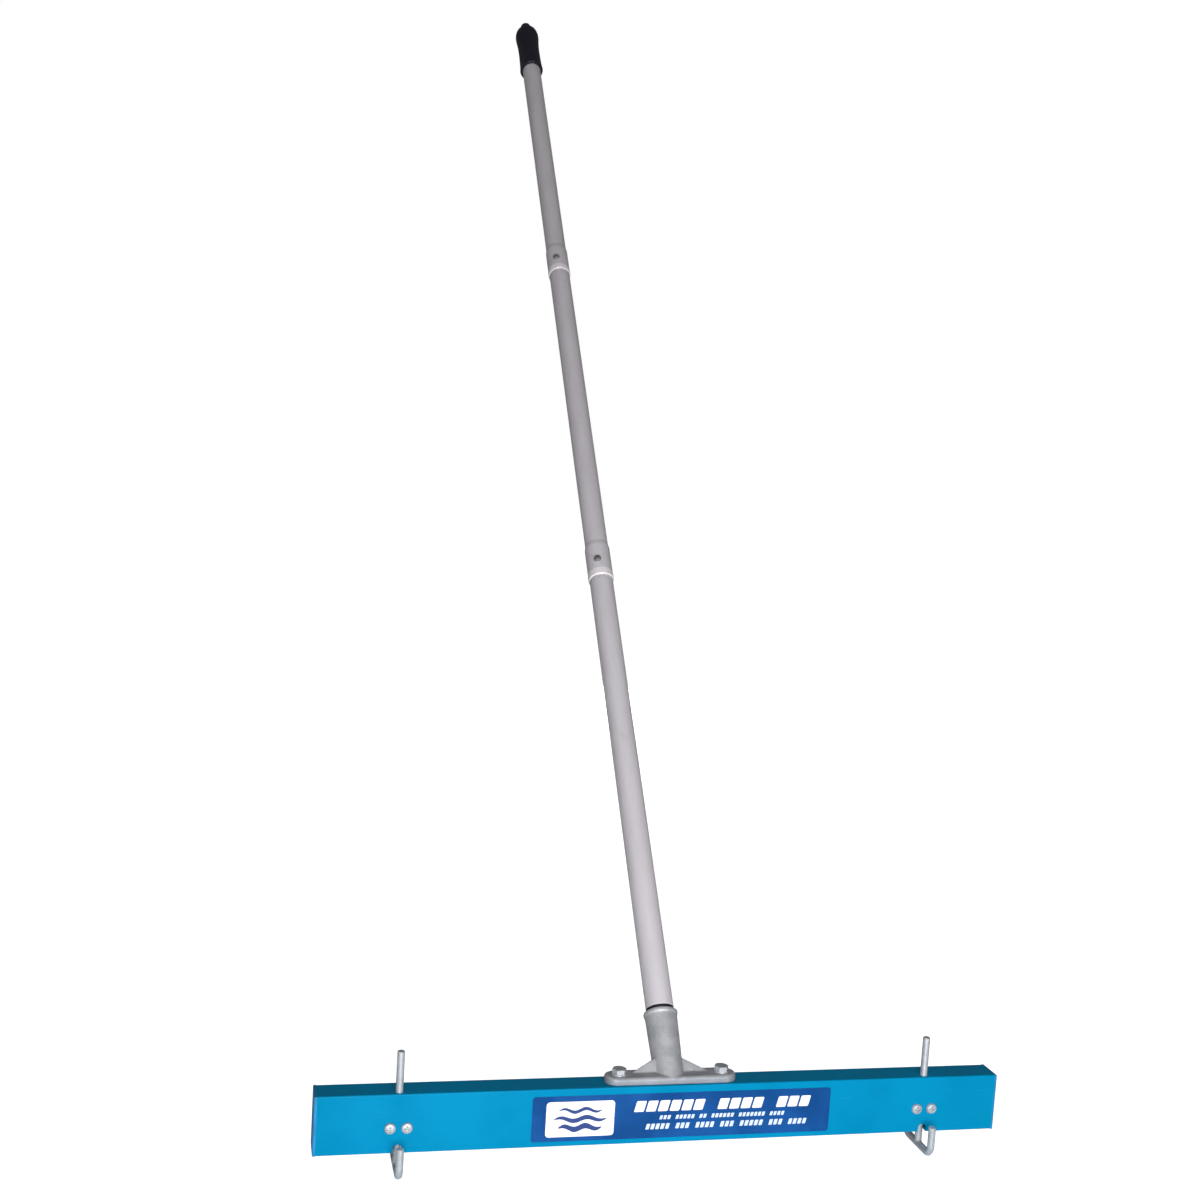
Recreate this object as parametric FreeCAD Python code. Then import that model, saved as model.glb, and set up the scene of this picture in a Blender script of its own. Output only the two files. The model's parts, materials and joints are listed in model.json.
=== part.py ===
import FreeCAD, Part
import math
import os

from FreeCAD import Placement, Rotation, Vector

# A screed spreader for floor compounds: a hollow blade on two adjustable skids, pulled by a
# three-section tube handle. Millimetres. The origin is the middle of the blade's bottom face.
# +X runs along the blade, -Y faces the side with the label and +Z is up.

X_AXIS = Vector(1, 0, 0)
Y_AXIS = Vector(0, 1, 0)
Z_AXIS = Vector(0, 0, 1)

# Blade: a rectangular tube that stands on its narrow side
overall_length = 609.6
blade_depth = 25.4
blade_height = 50.8
blade_wall = 2.4
blade_corner_radius = 1.2
front_face = -blade_depth / 2
rear_face = blade_depth / 2
front_wall_inner = front_face + blade_wall

# End caps
cap_flange = 2.5
cap_plug_depth = 12.0
cap_plug_wall = 2.0
cap_clearance = 0.1
cap_edge_radius = 1.0
cap_plug_radius = 0.8
tube_length = overall_length - 2 * cap_flange

# Label
label_length = 267.6
label_height = 40.0
label_thickness = 0.2
label_centre_x = 10.8
label_bottom = 4.6
label_corner_radius = 3.0

# Skids, made of quarter-inch round rod
skid_x = 235.0
rod_radius = 3.175
post_clearance = 0.1
post_y = front_wall_inner + post_clearance + rod_radius
post_top = 86.0
post_chamfer = 0.6
post_hole_radius = rod_radius + post_clearance
ground_clearance = 16.0
runner_axis_z = rod_radius - ground_clearance
runner_half_length = 25.0
runner_leg_top = 13.0
runner_bend_radius = 8.0
runner_end_chamfer = 0.5
notch_width = 8.4
notch_height = 7.4

# Clamp that holds each post: two screws pull a grooved plate against it
clamp_z = 22.0
screw_spacing = 14.0
screw_radius = 2.4
screw_length = 16.0
screw_head_radius = 4.8
screw_head_height = 3.0
screw_head_rim = 1.35
screw_shoulder_radius = 3.9
screw_crown_radius = 2.4
screw_crown_height = 0.3
screw_point = 0.6
screw_head_clearance = 0.05
screw_hole_radius = 2.55
screw_recess_width = 1.2
screw_recess_length = 5.4
screw_recess_depth = 1.6
plate_width = 28.0
plate_height = 18.0
plate_thickness = 5.5
plate_gap = 1.2
plate_front = post_y + plate_gap
plate_tapped_radius = screw_radius + screw_head_clearance
plate_groove_radius = rod_radius + post_clearance

# Handle socket casting and the bolts that hold it
handle_angle = 48.0
socket_setback = 2.0
flange_length = 118.0
flange_depth = 21.4
flange_thickness = 6.5
flange_edge_radius = 2.8
socket_foot_radius = 12.8
socket_radius = 14.6
socket_collar_radius = 15.4
socket_collar_start = 56.0
socket_top = 60.8
socket_edge = 1.2
socket_bore_radius = 9.6
socket_bore_bottom = 17.5
web_foot_x = 34.0
web_foot_rise = 4.9
web_head_x = 10.0
web_head_rise = 18.4
web_front = -5.0
web_thickness = 6.0
bolt_spacing = 92.0
bolt_radius = 3.175
bolt_hole_radius = 3.4
bolt_length = 19.0
bolt_head_across_flats = 11.1
bolt_head_height = 4.2
bolt_head_crown = 0.7
bolt_crown_radius = 5.1
bolt_rim_radius = 6.9
bolt_washer_radius = 6.6
bolt_washer_thickness = 1.2
backing_length = 112.0
backing_width = 19.0
backing_thickness = 3.0
nut_height = 5.5

# Handle: three tubes, each belled at its lower end over the one below
tube_radius = 12.7
tube_wall = 1.25
tube_inner_radius = tube_radius - tube_wall
tube_fit = 0.05
bell_wall = 0.95
handle_start = 63.8
handle_top = 1576.0
lower_mouth = 549.0
upper_mouth = 1041.5
insertion = 42.0
bell_taper = 6.0
bell_step = 0.3
bell_inner_radius = tube_radius + tube_fit
bell_outer_radius = bell_inner_radius + bell_wall
bell_lip = 0.35
bell_lip_length = 6.0
tube_end_chamfer = 0.4

# Threaded tip, its washer and the pin that holds it in the lower tube
tip_thread_radius = 9.525
tip_thread_bottom = 21.5
tip_plug_radius = tube_inner_radius - 0.03
tip_plug_top = 94.5
tip_chamfer = 1.4
washer_outer_radius = 12.3
washer_inner_radius = tip_thread_radius + 0.15
pin_radius = 2.0
pin_t = 80.5
pin_fit = 0.02

# Spring buttons that lock the handle's sections
button_from_mouth = 20.0
button_side_angle = 20.0
button_radius = 3.95
button_hole_radius = 4.03
button_reach = 16.2
button_dome = 1.4
button_dome_edge_radius = 3.45
button_dome_edge = 0.55
button_dome_crown_radius = 2.0
button_dome_crown = 0.1
button_flange_radius = 5.0
button_flange_top = 10.1
button_flange_thickness = 1.0
button_stem_radius = 1.8
button_stem_bottom = 3.4
leaf_thickness = 0.7
leaf_width = 6.0
leaf_back = 10.2
leaf_front = 5.1
leaf_reach = 6.0
leaf_length = 34.0
leaf_hole_radius = 2.2

# Hand grip: a vinyl sleeve with a flared rim, a waist, a fuller palm end and a nub
grip_start = 1482.0
grip_rim_radius = 16.4
grip_rim_edge = 1.6
grip_waist_radius = 15.3
grip_waist_t = 1508.0
grip_palm_radius = 16.0
grip_palm_t = 1552.0
grip_shoulder_radius = 14.8
grip_shoulder_t = 1575.0
grip_end_radius = 10.2
grip_end_t = 1582.0
grip_nub_radius = 7.2
grip_nub_edge = 2.4
grip_end = 1595.5


def save(shape, name):
    """Write one sub-part to its STEP file."""
    shape.exportStep(os.path.join("parts", name + ".step"))


def box(x0, y0, z0, x1, y1, z1):
    """A box between two opposite corners."""
    return Part.makeBox(x1 - x0, y1 - y0, z1 - z0, Vector(x0, y0, z0))


def cylinder(radius, start, direction, length):
    """A cylinder that grows from a start point along a direction."""
    return Part.makeCylinder(radius, length, start, direction)


def turned(points):
    """Revolve an outline of (radius, height) corners about the Z axis."""
    corners = [Vector(radius, 0, height) for radius, height in points]
    outline = Part.makePolygon(corners + corners[:1])
    return Part.Face(outline).revolve(Vector(0, 0, 0), Z_AXIS, 360)


def rounded_slab(length, width, thickness, radius, centre, normal):
    """A slab with round corners, its length along X and its thickness along a normal of Y or Z."""
    slab = Part.makeBox(length, width, thickness, Vector(-length / 2, -width / 2, 0))
    upright = [edge for edge in slab.Edges if is_along(edge, Z_AXIS)]
    slab = slab.makeFillet(radius, upright)
    slab.Placement = Placement(centre, Rotation(Z_AXIS, normal))
    return slab


def is_along(edge, direction):
    """True for a straight edge that is parallel to a direction."""
    ends = edge.Vertexes
    if len(ends) < 2:
        return False
    run = ends[1].Point - ends[0].Point
    return run.Length > 0 and run.cross(direction).Length < run.Length * 1e-6


def on_handle(shape):
    """Move a shape made about the Z axis onto the leaning axis of the handle."""
    foot = Vector(0, socket_setback, blade_height)
    lean = Rotation(X_AXIS, handle_angle - 90)
    shape.Placement = Placement(foot, lean).multiply(shape.Placement)
    return shape


def hex_prism(across_flats, height, base):
    """A hexagonal prism that stands on its base point."""
    corner_radius = across_flats / math.sqrt(3)
    corners = []
    for index in range(7):
        angle = math.radians(60 * index)
        corners.append(base + Vector(corner_radius * math.cos(angle), corner_radius * math.sin(angle), 0))
    return Part.Face(Part.makePolygon(corners)).extrude(Vector(0, 0, height))


def blade_profile(inset, length, corner_radius):
    """A bar with the blade's outline made smaller all round, centred on the blade."""
    half = length / 2
    bar = box(-half, front_face + inset, inset, half, rear_face - inset, blade_height - inset)
    return bar.makeFillet(corner_radius, [edge for edge in bar.Edges if is_along(edge, X_AXIS)])


def skid_notch(x):
    """The round-topped channel through both walls that a runner nests in when it is raised."""
    radius = notch_width / 2
    arch_centre = notch_height - radius
    depth = blade_depth + 2
    start_y = front_face - 1
    arch = cylinder(radius, Vector(x, start_y, arch_centre), Y_AXIS, depth)
    slot = box(x - radius, start_y, -1, x + radius, start_y + depth, arch_centre)
    return arch.fuse(slot)


def screw_positions(x):
    """The places of a clamp's two screws on the front face."""
    return [x - screw_spacing / 2, x + screw_spacing / 2]


def blade_tube():
    """The rectangular tube with its notches and holes."""
    tube = blade_profile(0, tube_length, blade_corner_radius)
    tube = tube.cut(blade_profile(blade_wall, tube_length + 2, blade_corner_radius / 2))
    for x in (-skid_x, skid_x):
        tube = tube.cut(skid_notch(x))
        top_hole_start = Vector(x, post_y, blade_height / 2)
        tube = tube.cut(cylinder(post_hole_radius, top_hole_start, Z_AXIS, blade_height))
        for screw_x in screw_positions(x):
            start = Vector(screw_x, front_face - 1, clamp_z)
            tube = tube.cut(cylinder(screw_hole_radius, start, Y_AXIS, blade_wall + 2))
    for bolt_x in (-bolt_spacing / 2, bolt_spacing / 2):
        start = Vector(bolt_x, 0, blade_height / 2)
        tube = tube.cut(cylinder(bolt_hole_radius, start, Z_AXIS, blade_height))
    return tube


def end_cap(side):
    """A plastic cap: an outer flange and a hollow plug that fills the tube's end."""
    inset = blade_wall + cap_clearance
    outer = box(0, front_face, 0, cap_flange, rear_face, blade_height)
    face_edges = [edge for edge in outer.Edges if edge.BoundBox.XMin > cap_flange - 0.01]
    outer = outer.makeFillet(cap_edge_radius, face_edges)
    plug = box(-cap_plug_depth, front_face + inset, inset, 0, rear_face - inset, blade_height - inset)
    plug = plug.makeFillet(cap_plug_radius, [edge for edge in plug.Edges if is_along(edge, X_AXIS)])
    hollow_inset = inset + cap_plug_wall
    hollow = box(-cap_plug_depth - 1, front_face + hollow_inset, hollow_inset,
                 -cap_flange, rear_face - hollow_inset, blade_height - hollow_inset)
    cap = outer.fuse(plug.cut(hollow)).removeSplitter()
    turn = 0 if side > 0 else 180
    cap.Placement = Placement(Vector(side * tube_length / 2, 0, 0), Rotation(Z_AXIS, turn))
    return cap


def label():
    """A thin sticker with round corners on the front face."""
    centre = Vector(label_centre_x, front_face, label_bottom + label_height / 2)
    return rounded_slab(label_length, label_height, label_thickness, label_corner_radius,
                        centre, Vector(0, -1, 0))


def runner(x):
    """A rod bent up at both ends, so that it slides without digging in."""
    front = post_y - runner_half_length
    rear = post_y + runner_half_length
    low = runner_axis_z
    bend = runner_bend_radius
    shift = bend * (1 - math.sqrt(0.5))
    front_leg = Part.makeLine(Vector(x, front, runner_leg_top), Vector(x, front, low + bend))
    front_bend = Part.Arc(Vector(x, front, low + bend), Vector(x, front + shift, low + shift),
                          Vector(x, front + bend, low)).toShape()
    bar = Part.makeLine(Vector(x, front + bend, low), Vector(x, rear - bend, low))
    rear_bend = Part.Arc(Vector(x, rear - bend, low), Vector(x, rear - shift, low + shift),
                         Vector(x, rear, low + bend)).toShape()
    rear_leg = Part.makeLine(Vector(x, rear, low + bend), Vector(x, rear, runner_leg_top))
    path = Part.Wire([front_leg, front_bend, bar, rear_bend, rear_leg])
    section = Part.Wire(Part.makeCircle(rod_radius, Vector(x, front, runner_leg_top), Z_AXIS))
    rod = path.makePipeShell([section], True, True)
    tips = [edge for edge in rod.Edges if edge.BoundBox.ZMin > runner_leg_top - 0.01]
    return rod.makeChamfer(runner_end_chamfer, tips)


def post(x):
    """The upright rod of a skid, shaped at its foot to the runner it is welded to."""
    height = post_top - runner_axis_z
    rod = cylinder(rod_radius, Vector(x, post_y, runner_axis_z), Z_AXIS, height)
    top = [edge for edge in rod.Edges if edge.BoundBox.ZMin > post_top - 0.01]
    rod = rod.makeChamfer(post_chamfer, top)
    runner_start = Vector(x, post_y - runner_half_length / 2, runner_axis_z)
    return rod.cut(cylinder(rod_radius, runner_start, Y_AXIS, runner_half_length))


def clamp_plate(x):
    """The plate inside the blade that presses a post against the front wall."""
    plate = box(x - plate_width / 2, plate_front, clamp_z - plate_height / 2,
                x + plate_width / 2, plate_front + plate_thickness, clamp_z + plate_height / 2)
    groove_start = Vector(x, post_y, 0)
    plate = plate.cut(cylinder(plate_groove_radius, groove_start, Z_AXIS, blade_height))
    for screw_x in screw_positions(x):
        start = Vector(screw_x, front_face, clamp_z)
        plate = plate.cut(cylinder(plate_tapped_radius, start, Y_AXIS, blade_depth))
    return plate


def clamp_screw(x):
    """A pan-head screw with a cross recess, driven in from the front face."""
    head_start = screw_head_clearance
    head_top = head_start + screw_head_height
    screw = turned([
        (0, -screw_length),
        (screw_radius - screw_point, -screw_length),
        (screw_radius, screw_point - screw_length),
        (screw_radius, head_start),
        (screw_head_radius, head_start),
        (screw_head_radius, head_start + screw_head_rim),
        (screw_shoulder_radius, head_top - screw_crown_height),
        (screw_crown_radius, head_top),
        (0, head_top),
    ])
    half = screw_recess_length / 2
    wing = screw_recess_width / 2
    floor = head_top - screw_recess_depth
    screw = screw.cut(box(-half, -wing, floor, half, wing, head_top + 1))
    screw = screw.cut(box(-wing, -half, floor, wing, half, head_top + 1))
    screw.Placement = Placement(Vector(x, front_face, clamp_z), Rotation(Z_AXIS, Vector(0, -1, 0)))
    return screw


def socket_flange():
    """The foot of the casting: a long plate with round ends and a softened top edge."""
    radius = flange_depth / 2
    straight = flange_length / 2 - radius
    plate = box(-straight, -radius, blade_height, straight, radius, blade_height + flange_thickness)
    for side in (-1, 1):
        centre = Vector(side * straight, 0, blade_height)
        plate = plate.fuse(cylinder(radius, centre, Z_AXIS, flange_thickness))
    plate = plate.removeSplitter()
    top = blade_height + flange_thickness
    top_edges = [edge for edge in plate.Edges if edge.BoundBox.ZMin > top - 0.01]
    return plate.makeFillet(flange_edge_radius, top_edges)


def socket_web(side):
    """A triangular web that leans with the socket and braces one side of it."""
    corners = [
        Vector(0, web_front, 0),
        Vector(side * web_foot_x, web_front, 0),
        Vector(side * web_foot_x, web_front, web_foot_rise),
        Vector(side * web_head_x, web_front, web_head_rise),
        Vector(0, web_front, web_head_rise),
    ]
    face = Part.Face(Part.makePolygon(corners + corners[:1]))
    return on_handle(face.extrude(Vector(0, web_thickness, 0)))


def handle_socket():
    """The casting: a flange, a leaning socket with a collar, and two webs."""
    edge = socket_edge
    barrel = on_handle(turned([
        (0, -socket_radius * 2),
        (socket_foot_radius, -socket_radius * 2),
        (socket_foot_radius, 0),
        (socket_radius, socket_collar_start),
        (socket_collar_radius, socket_collar_start + edge),
        (socket_collar_radius, socket_top - edge),
        (socket_collar_radius - edge, socket_top),
        (0, socket_top),
    ]))
    reach = flange_length / 2
    room = box(-reach, -flange_depth / 2, blade_height, reach, reach, blade_height + reach)
    body = barrel.fuse([socket_web(-1), socket_web(1)]).common(room)
    casting = body.fuse(socket_flange())
    bore_start = Vector(0, 0, socket_bore_bottom)
    bore = on_handle(cylinder(socket_bore_radius, bore_start, Z_AXIS, socket_top))
    casting = casting.cut(bore)
    for bolt_x in (-bolt_spacing / 2, bolt_spacing / 2):
        start = Vector(bolt_x, 0, blade_height - 1)
        casting = casting.cut(cylinder(bolt_hole_radius, start, Z_AXIS, flange_thickness + 2))
    return casting.removeSplitter()


def bolt_places():
    """The two bolt axes, at the height of the flange's top."""
    seat = blade_height + flange_thickness
    return [Vector(-bolt_spacing / 2, 0, seat), Vector(bolt_spacing / 2, 0, seat)]


def socket_bolt(seat):
    """A hex bolt that hangs down from the top of its washer."""
    base = seat + Vector(0, 0, bolt_washer_thickness)
    head = hex_prism(bolt_head_across_flats, bolt_head_height, base)
    crown = turned([
        (0, 0),
        (bolt_rim_radius, 0),
        (bolt_rim_radius, bolt_head_height - bolt_head_crown),
        (bolt_crown_radius, bolt_head_height),
        (0, bolt_head_height),
    ])
    crown.translate(base)
    shank = cylinder(bolt_radius, base, Vector(0, 0, -1), bolt_length)
    return head.common(crown).fuse(shank)


def ring(outer_radius, inner_radius, base, thickness):
    """A flat washer on the Z axis direction."""
    return cylinder(outer_radius, base, Z_AXIS, thickness).cut(
        cylinder(inner_radius, base, Z_AXIS, thickness))


def backing_plate():
    """The steel strip inside the blade that spreads the bolts' pull."""
    underside = blade_height - blade_wall - backing_thickness
    plate = box(-backing_length / 2, -backing_width / 2, underside,
                backing_length / 2, backing_width / 2, underside + backing_thickness)
    for place in bolt_places():
        start = Vector(place.x, place.y, underside - 1)
        plate = plate.cut(cylinder(bolt_hole_radius, start, Z_AXIS, backing_thickness + 2))
    return plate


def socket_nut(seat):
    """A hex nut under the backing plate."""
    top = blade_height - blade_wall - backing_thickness
    base = Vector(seat.x, seat.y, top - nut_height)
    nut = hex_prism(bolt_head_across_flats, nut_height, base)
    return nut.cut(cylinder(bolt_radius, base, Z_AXIS, nut_height))


def to_button_side(shape):
    """Turn a shape from the handle's front to the side that the buttons face."""
    shape.rotate(Vector(0, 0, 0), Z_AXIS, -button_side_angle)
    return shape


def button_bore(t, radius):
    """A cutter through the button's side of the handle at a distance along its axis."""
    return to_button_side(cylinder(radius, Vector(0, 0, t), Vector(0, -1, 0), socket_radius * 2))


def lower_tube():
    """The plain bottom section, drilled for the tip's pin and the first button."""
    top = lower_mouth + insertion
    tube = turned([
        (tube_inner_radius, handle_start),
        (tube_radius - tube_end_chamfer, handle_start),
        (tube_radius, handle_start + tube_end_chamfer),
        (tube_radius, top - tube_end_chamfer),
        (tube_radius - tube_end_chamfer, top),
        (tube_inner_radius, top),
    ])
    pin_start = Vector(-tube_radius * 2, 0, pin_t)
    tube = tube.cut(cylinder(pin_radius + pin_fit, pin_start, X_AXIS, tube_radius * 4))
    tube = tube.cut(button_bore(lower_mouth + button_from_mouth, button_hole_radius))
    return on_handle(tube)


def belled_tube(mouth, top):
    """A section whose lower end is swaged out over the section below it."""
    bell_end = mouth + insertion
    lip_radius = bell_outer_radius + bell_lip
    lip_end = mouth + bell_lip_length
    tube = turned([
        (bell_inner_radius, mouth),
        (lip_radius - bell_lip, mouth),
        (lip_radius, mouth + bell_lip),
        (lip_radius, lip_end - bell_lip),
        (bell_outer_radius, lip_end),
        (bell_outer_radius, bell_end),
        (tube_radius, bell_end + bell_taper),
        (tube_radius, top - tube_end_chamfer),
        (tube_radius - tube_end_chamfer, top),
        (tube_inner_radius, top),
        (tube_inner_radius, bell_end + bell_taper),
        (bell_inner_radius, bell_end + bell_step),
    ])
    return tube.cut(button_bore(mouth + button_from_mouth, button_hole_radius))


def middle_tube():
    """The middle section, with a second button's hole near its top."""
    tube = belled_tube(lower_mouth, upper_mouth + insertion)
    tube = tube.cut(button_bore(upper_mouth + button_from_mouth, button_hole_radius))
    return on_handle(tube)


def threaded_tip():
    """The plug that carries the handle's thread."""
    tip = turned([
        (0, tip_thread_bottom),
        (tip_thread_radius - tip_chamfer, tip_thread_bottom),
        (tip_thread_radius, tip_thread_bottom + tip_chamfer),
        (tip_thread_radius, handle_start),
        (tip_plug_radius, handle_start),
        (tip_plug_radius, tip_plug_top - tip_chamfer),
        (tip_plug_radius - tip_chamfer, tip_plug_top),
        (0, tip_plug_top),
    ])
    pin_start = Vector(-tube_radius * 2, 0, pin_t)
    return on_handle(tip.cut(cylinder(pin_radius + pin_fit, pin_start, X_AXIS, tube_radius * 4)))


def tip_pin():
    """The cross pin through the lower tube and the tip."""
    pin = cylinder(pin_radius, Vector(-tube_radius, 0, pin_t), X_AXIS, tube_radius * 2)
    return on_handle(pin)


def tip_washer():
    """The dark washer between the socket's collar and the end of the handle."""
    thickness = handle_start - socket_top
    return on_handle(ring(washer_outer_radius, washer_inner_radius, Vector(0, 0, socket_top), thickness))


def spring_button(t):
    """A domed button with a flange that stays inside the tube and a stem through the leaf."""
    flange_bottom = button_flange_top - button_flange_thickness
    button = turned([
        (0, button_stem_bottom),
        (button_stem_radius, button_stem_bottom),
        (button_stem_radius, flange_bottom),
        (button_flange_radius, flange_bottom),
        (button_flange_radius, button_flange_top),
        (button_radius, button_flange_top),
        (button_radius, button_reach - button_dome),
        (button_dome_edge_radius, button_reach - button_dome_edge),
        (button_dome_crown_radius, button_reach - button_dome_crown),
        (0, button_reach),
    ])
    button.Placement = Placement(Vector(0, 0, t), Rotation(Z_AXIS, Vector(0, -1, 0)))
    return on_handle(to_button_side(button))


def button_spring(t):
    """A strip folded into a narrow U: its back leg lies on the far wall of the tube."""
    bend_radius = (leaf_back + leaf_front) / 2
    bend_t = t + leaf_reach - leaf_length
    bend_centre_y = leaf_back - bend_radius
    start = Vector(0, -leaf_front, t + leaf_reach)
    front_end = Vector(0, -leaf_front, bend_t)
    back_end = Vector(0, leaf_back, bend_t)
    top = Vector(0, leaf_back, t + leaf_reach)
    front = Part.makeLine(start, front_end)
    fold = Part.Arc(front_end, Vector(0, bend_centre_y, bend_t - bend_radius), back_end).toShape()
    back = Part.makeLine(back_end, top)
    centre_line = Part.Wire([front, fold, back])
    half_width = leaf_width / 2
    half_thickness = leaf_thickness / 2
    section = Part.makePolygon([
        start + Vector(-half_width, -half_thickness, 0),
        start + Vector(half_width, -half_thickness, 0),
        start + Vector(half_width, half_thickness, 0),
        start + Vector(-half_width, half_thickness, 0),
        start + Vector(-half_width, -half_thickness, 0),
    ])
    leaf = centre_line.makePipeShell([section], True, True)
    hole_start = Vector(0, -leaf_front / 2, t)
    leaf = leaf.cut(cylinder(leaf_hole_radius, hole_start, Vector(0, -1, 0), leaf_front * 2))
    return on_handle(to_button_side(leaf))


def hand_grip():
    """A vinyl sleeve closed at its end, where a small nub stands out."""
    outline = Part.BSplineCurve()
    outline.interpolate([
        Vector(grip_rim_radius, 0, grip_start + grip_rim_edge),
        Vector(grip_waist_radius, 0, grip_waist_t),
        Vector(grip_palm_radius, 0, grip_palm_t),
        Vector(grip_shoulder_radius, 0, grip_shoulder_t),
        Vector(grip_end_radius, 0, grip_end_t),
    ])
    corners = [
        Vector(grip_end_radius, 0, grip_end_t),
        Vector(grip_nub_radius, 0, grip_end_t),
        Vector(grip_nub_radius, 0, grip_end - grip_nub_edge),
        Vector(grip_nub_radius - grip_nub_edge, 0, grip_end),
        Vector(0, 0, grip_end),
        Vector(0, 0, handle_top),
        Vector(tube_radius, 0, handle_top),
        Vector(tube_radius, 0, grip_start),
        Vector(grip_rim_radius - grip_rim_edge, 0, grip_start),
        Vector(grip_rim_radius, 0, grip_start + grip_rim_edge),
    ]
    straight = [Part.makeLine(first, second) for first, second in zip(corners, corners[1:])]
    wire = Part.Wire([outline.toShape()] + straight)
    return on_handle(Part.Face(wire).revolve(Vector(0, 0, 0), Z_AXIS, 360))


def main():
    os.makedirs("parts", exist_ok=True)
    save(blade_tube(), "blade_tube")
    save(label(), "label")
    for side, word in ((-1, "left"), (1, "right")):
        x = side * skid_x
        save(end_cap(side), "end_cap_" + word)
        save(post(x), "skid_post_" + word)
        save(runner(x), "skid_runner_" + word)
        save(clamp_plate(x), "clamp_plate_" + word)
        for screw_x, place in zip(screw_positions(x), ("a", "b")):
            save(clamp_screw(screw_x), "clamp_screw_" + word + "_" + place)
    save(handle_socket(), "handle_socket")
    places = bolt_places()
    save(Part.makeCompound([socket_bolt(place) for place in places]), "socket_bolts")
    washers = [ring(bolt_washer_radius, bolt_hole_radius, place, bolt_washer_thickness) for place in places]
    save(Part.makeCompound(washers), "socket_washers")
    save(backing_plate(), "backing_plate")
    save(Part.makeCompound([socket_nut(place) for place in places]), "socket_nuts")
    save(lower_tube(), "lower_tube")
    save(middle_tube(), "middle_tube")
    save(on_handle(belled_tube(upper_mouth, handle_top)), "upper_tube")
    save(threaded_tip(), "threaded_tip")
    save(tip_pin(), "tip_pin")
    save(tip_washer(), "tip_washer")
    for mouth, word in ((lower_mouth, "lower"), (upper_mouth, "upper")):
        t = mouth + button_from_mouth
        save(spring_button(t), "spring_button_" + word)
        save(button_spring(t), "button_spring_" + word)
    save(hand_grip(), "hand_grip")


main()
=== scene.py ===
import json
import math

import bmesh
import bpy
from mathutils import Matrix, Vector, noise


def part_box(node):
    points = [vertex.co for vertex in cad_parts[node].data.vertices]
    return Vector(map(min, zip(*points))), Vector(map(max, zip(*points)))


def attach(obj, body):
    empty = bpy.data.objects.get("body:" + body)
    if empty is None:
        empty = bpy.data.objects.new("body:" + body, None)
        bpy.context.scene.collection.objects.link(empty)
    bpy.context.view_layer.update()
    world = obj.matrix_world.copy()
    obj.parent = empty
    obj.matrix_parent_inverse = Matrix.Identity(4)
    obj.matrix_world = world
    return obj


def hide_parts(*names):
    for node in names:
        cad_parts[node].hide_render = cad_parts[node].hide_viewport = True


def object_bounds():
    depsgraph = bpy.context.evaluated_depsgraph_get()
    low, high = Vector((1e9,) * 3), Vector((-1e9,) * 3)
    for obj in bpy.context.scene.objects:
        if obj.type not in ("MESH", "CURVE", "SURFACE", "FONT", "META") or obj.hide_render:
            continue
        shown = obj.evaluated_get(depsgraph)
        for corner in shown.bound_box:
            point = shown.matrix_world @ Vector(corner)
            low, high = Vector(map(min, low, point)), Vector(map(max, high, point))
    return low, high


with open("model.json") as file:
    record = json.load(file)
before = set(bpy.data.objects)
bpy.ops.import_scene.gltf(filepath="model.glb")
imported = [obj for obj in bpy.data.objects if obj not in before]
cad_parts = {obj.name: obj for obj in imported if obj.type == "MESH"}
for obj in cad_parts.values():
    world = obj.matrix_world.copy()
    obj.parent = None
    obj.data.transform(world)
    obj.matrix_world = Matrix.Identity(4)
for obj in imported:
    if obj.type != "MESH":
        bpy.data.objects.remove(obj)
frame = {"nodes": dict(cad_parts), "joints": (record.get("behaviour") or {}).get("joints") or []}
cad_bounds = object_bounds()
nodes = frame["nodes"]

# Looks for a screed spreader: a blue hollow blade on two rod skids, with a leaning tube handle.
# Metres, in the frame of the CAD model: +X along the blade, -Y towards the labelled side, +Z up.

MM = 0.001

# Places read from the frame
blade_low, blade_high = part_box("blade_tube")
label_low, label_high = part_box("label")
turn_joint = next(joint for joint in frame["joints"] if joint["name"] == "handle_turn")
handle_axis = Vector(turn_joint["axis"])
handle_anchor = Vector(turn_joint["pos_m"])
handle_foot = handle_anchor - handle_axis * ((handle_anchor.z - blade_high.z) / handle_axis.z)
handle_lean = math.atan2(handle_axis.y, handle_axis.z)
handle_frame = Matrix.Translation(handle_foot) @ Matrix.Rotation(-handle_lean, 4, "X")


def along_handle(node):
    """How far up the handle's axis a node starts and ends."""
    to_handle = handle_frame.inverted()
    heights = [(to_handle @ vertex.co).z for vertex in nodes[node].data.vertices]
    return min(heights), max(heights)


# Sizes of the added pieces
LABEL_CORNER = 2.5 * MM
INK_THICKNESS = 0.05 * MM
PANEL_INSET = 12.2 * MM
PANEL_LENGTH = 59.5 * MM
PANEL_MARGIN_BELOW = 4.0 * MM
PANEL_MARGIN_ABOVE = 5.0 * MM
PANEL_CORNER = 3.0 * MM
WAVE_SPACING = 7.6 * MM
WAVE_HEIGHT = 1.5 * MM
BLOCK_SLANT = 0.25
WORD_GAP = 1.1
BEAD_THICKNESS = 0.55 * MM
BEAD_ARC = 128
THREAD_PITCH = 5.08 * MM
THREAD_CREST = 9.5 * MM
THREAD_ROOT = 8.35 * MM
THREAD_STEP = 0.35 * MM
PLUG_RADIUS = 11.38 * MM
PLUG_CHAMFER = 1.4 * MM
WELD_DISTANCE = 0.001 * MM

# Where the finishes change, from the joints' mouths and the top of the blade
GRIME_REACH = 9.0 * MM
# Painted highlight: these two fades bound a near-white band on the tube just above each joint's mouth.
HIGHLIGHT_LOWER_FADE = (-0.6 * MM, 0.0)
HIGHLIGHT_UPPER_FADE = (8.0 * MM, 9.0 * MM)
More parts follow.
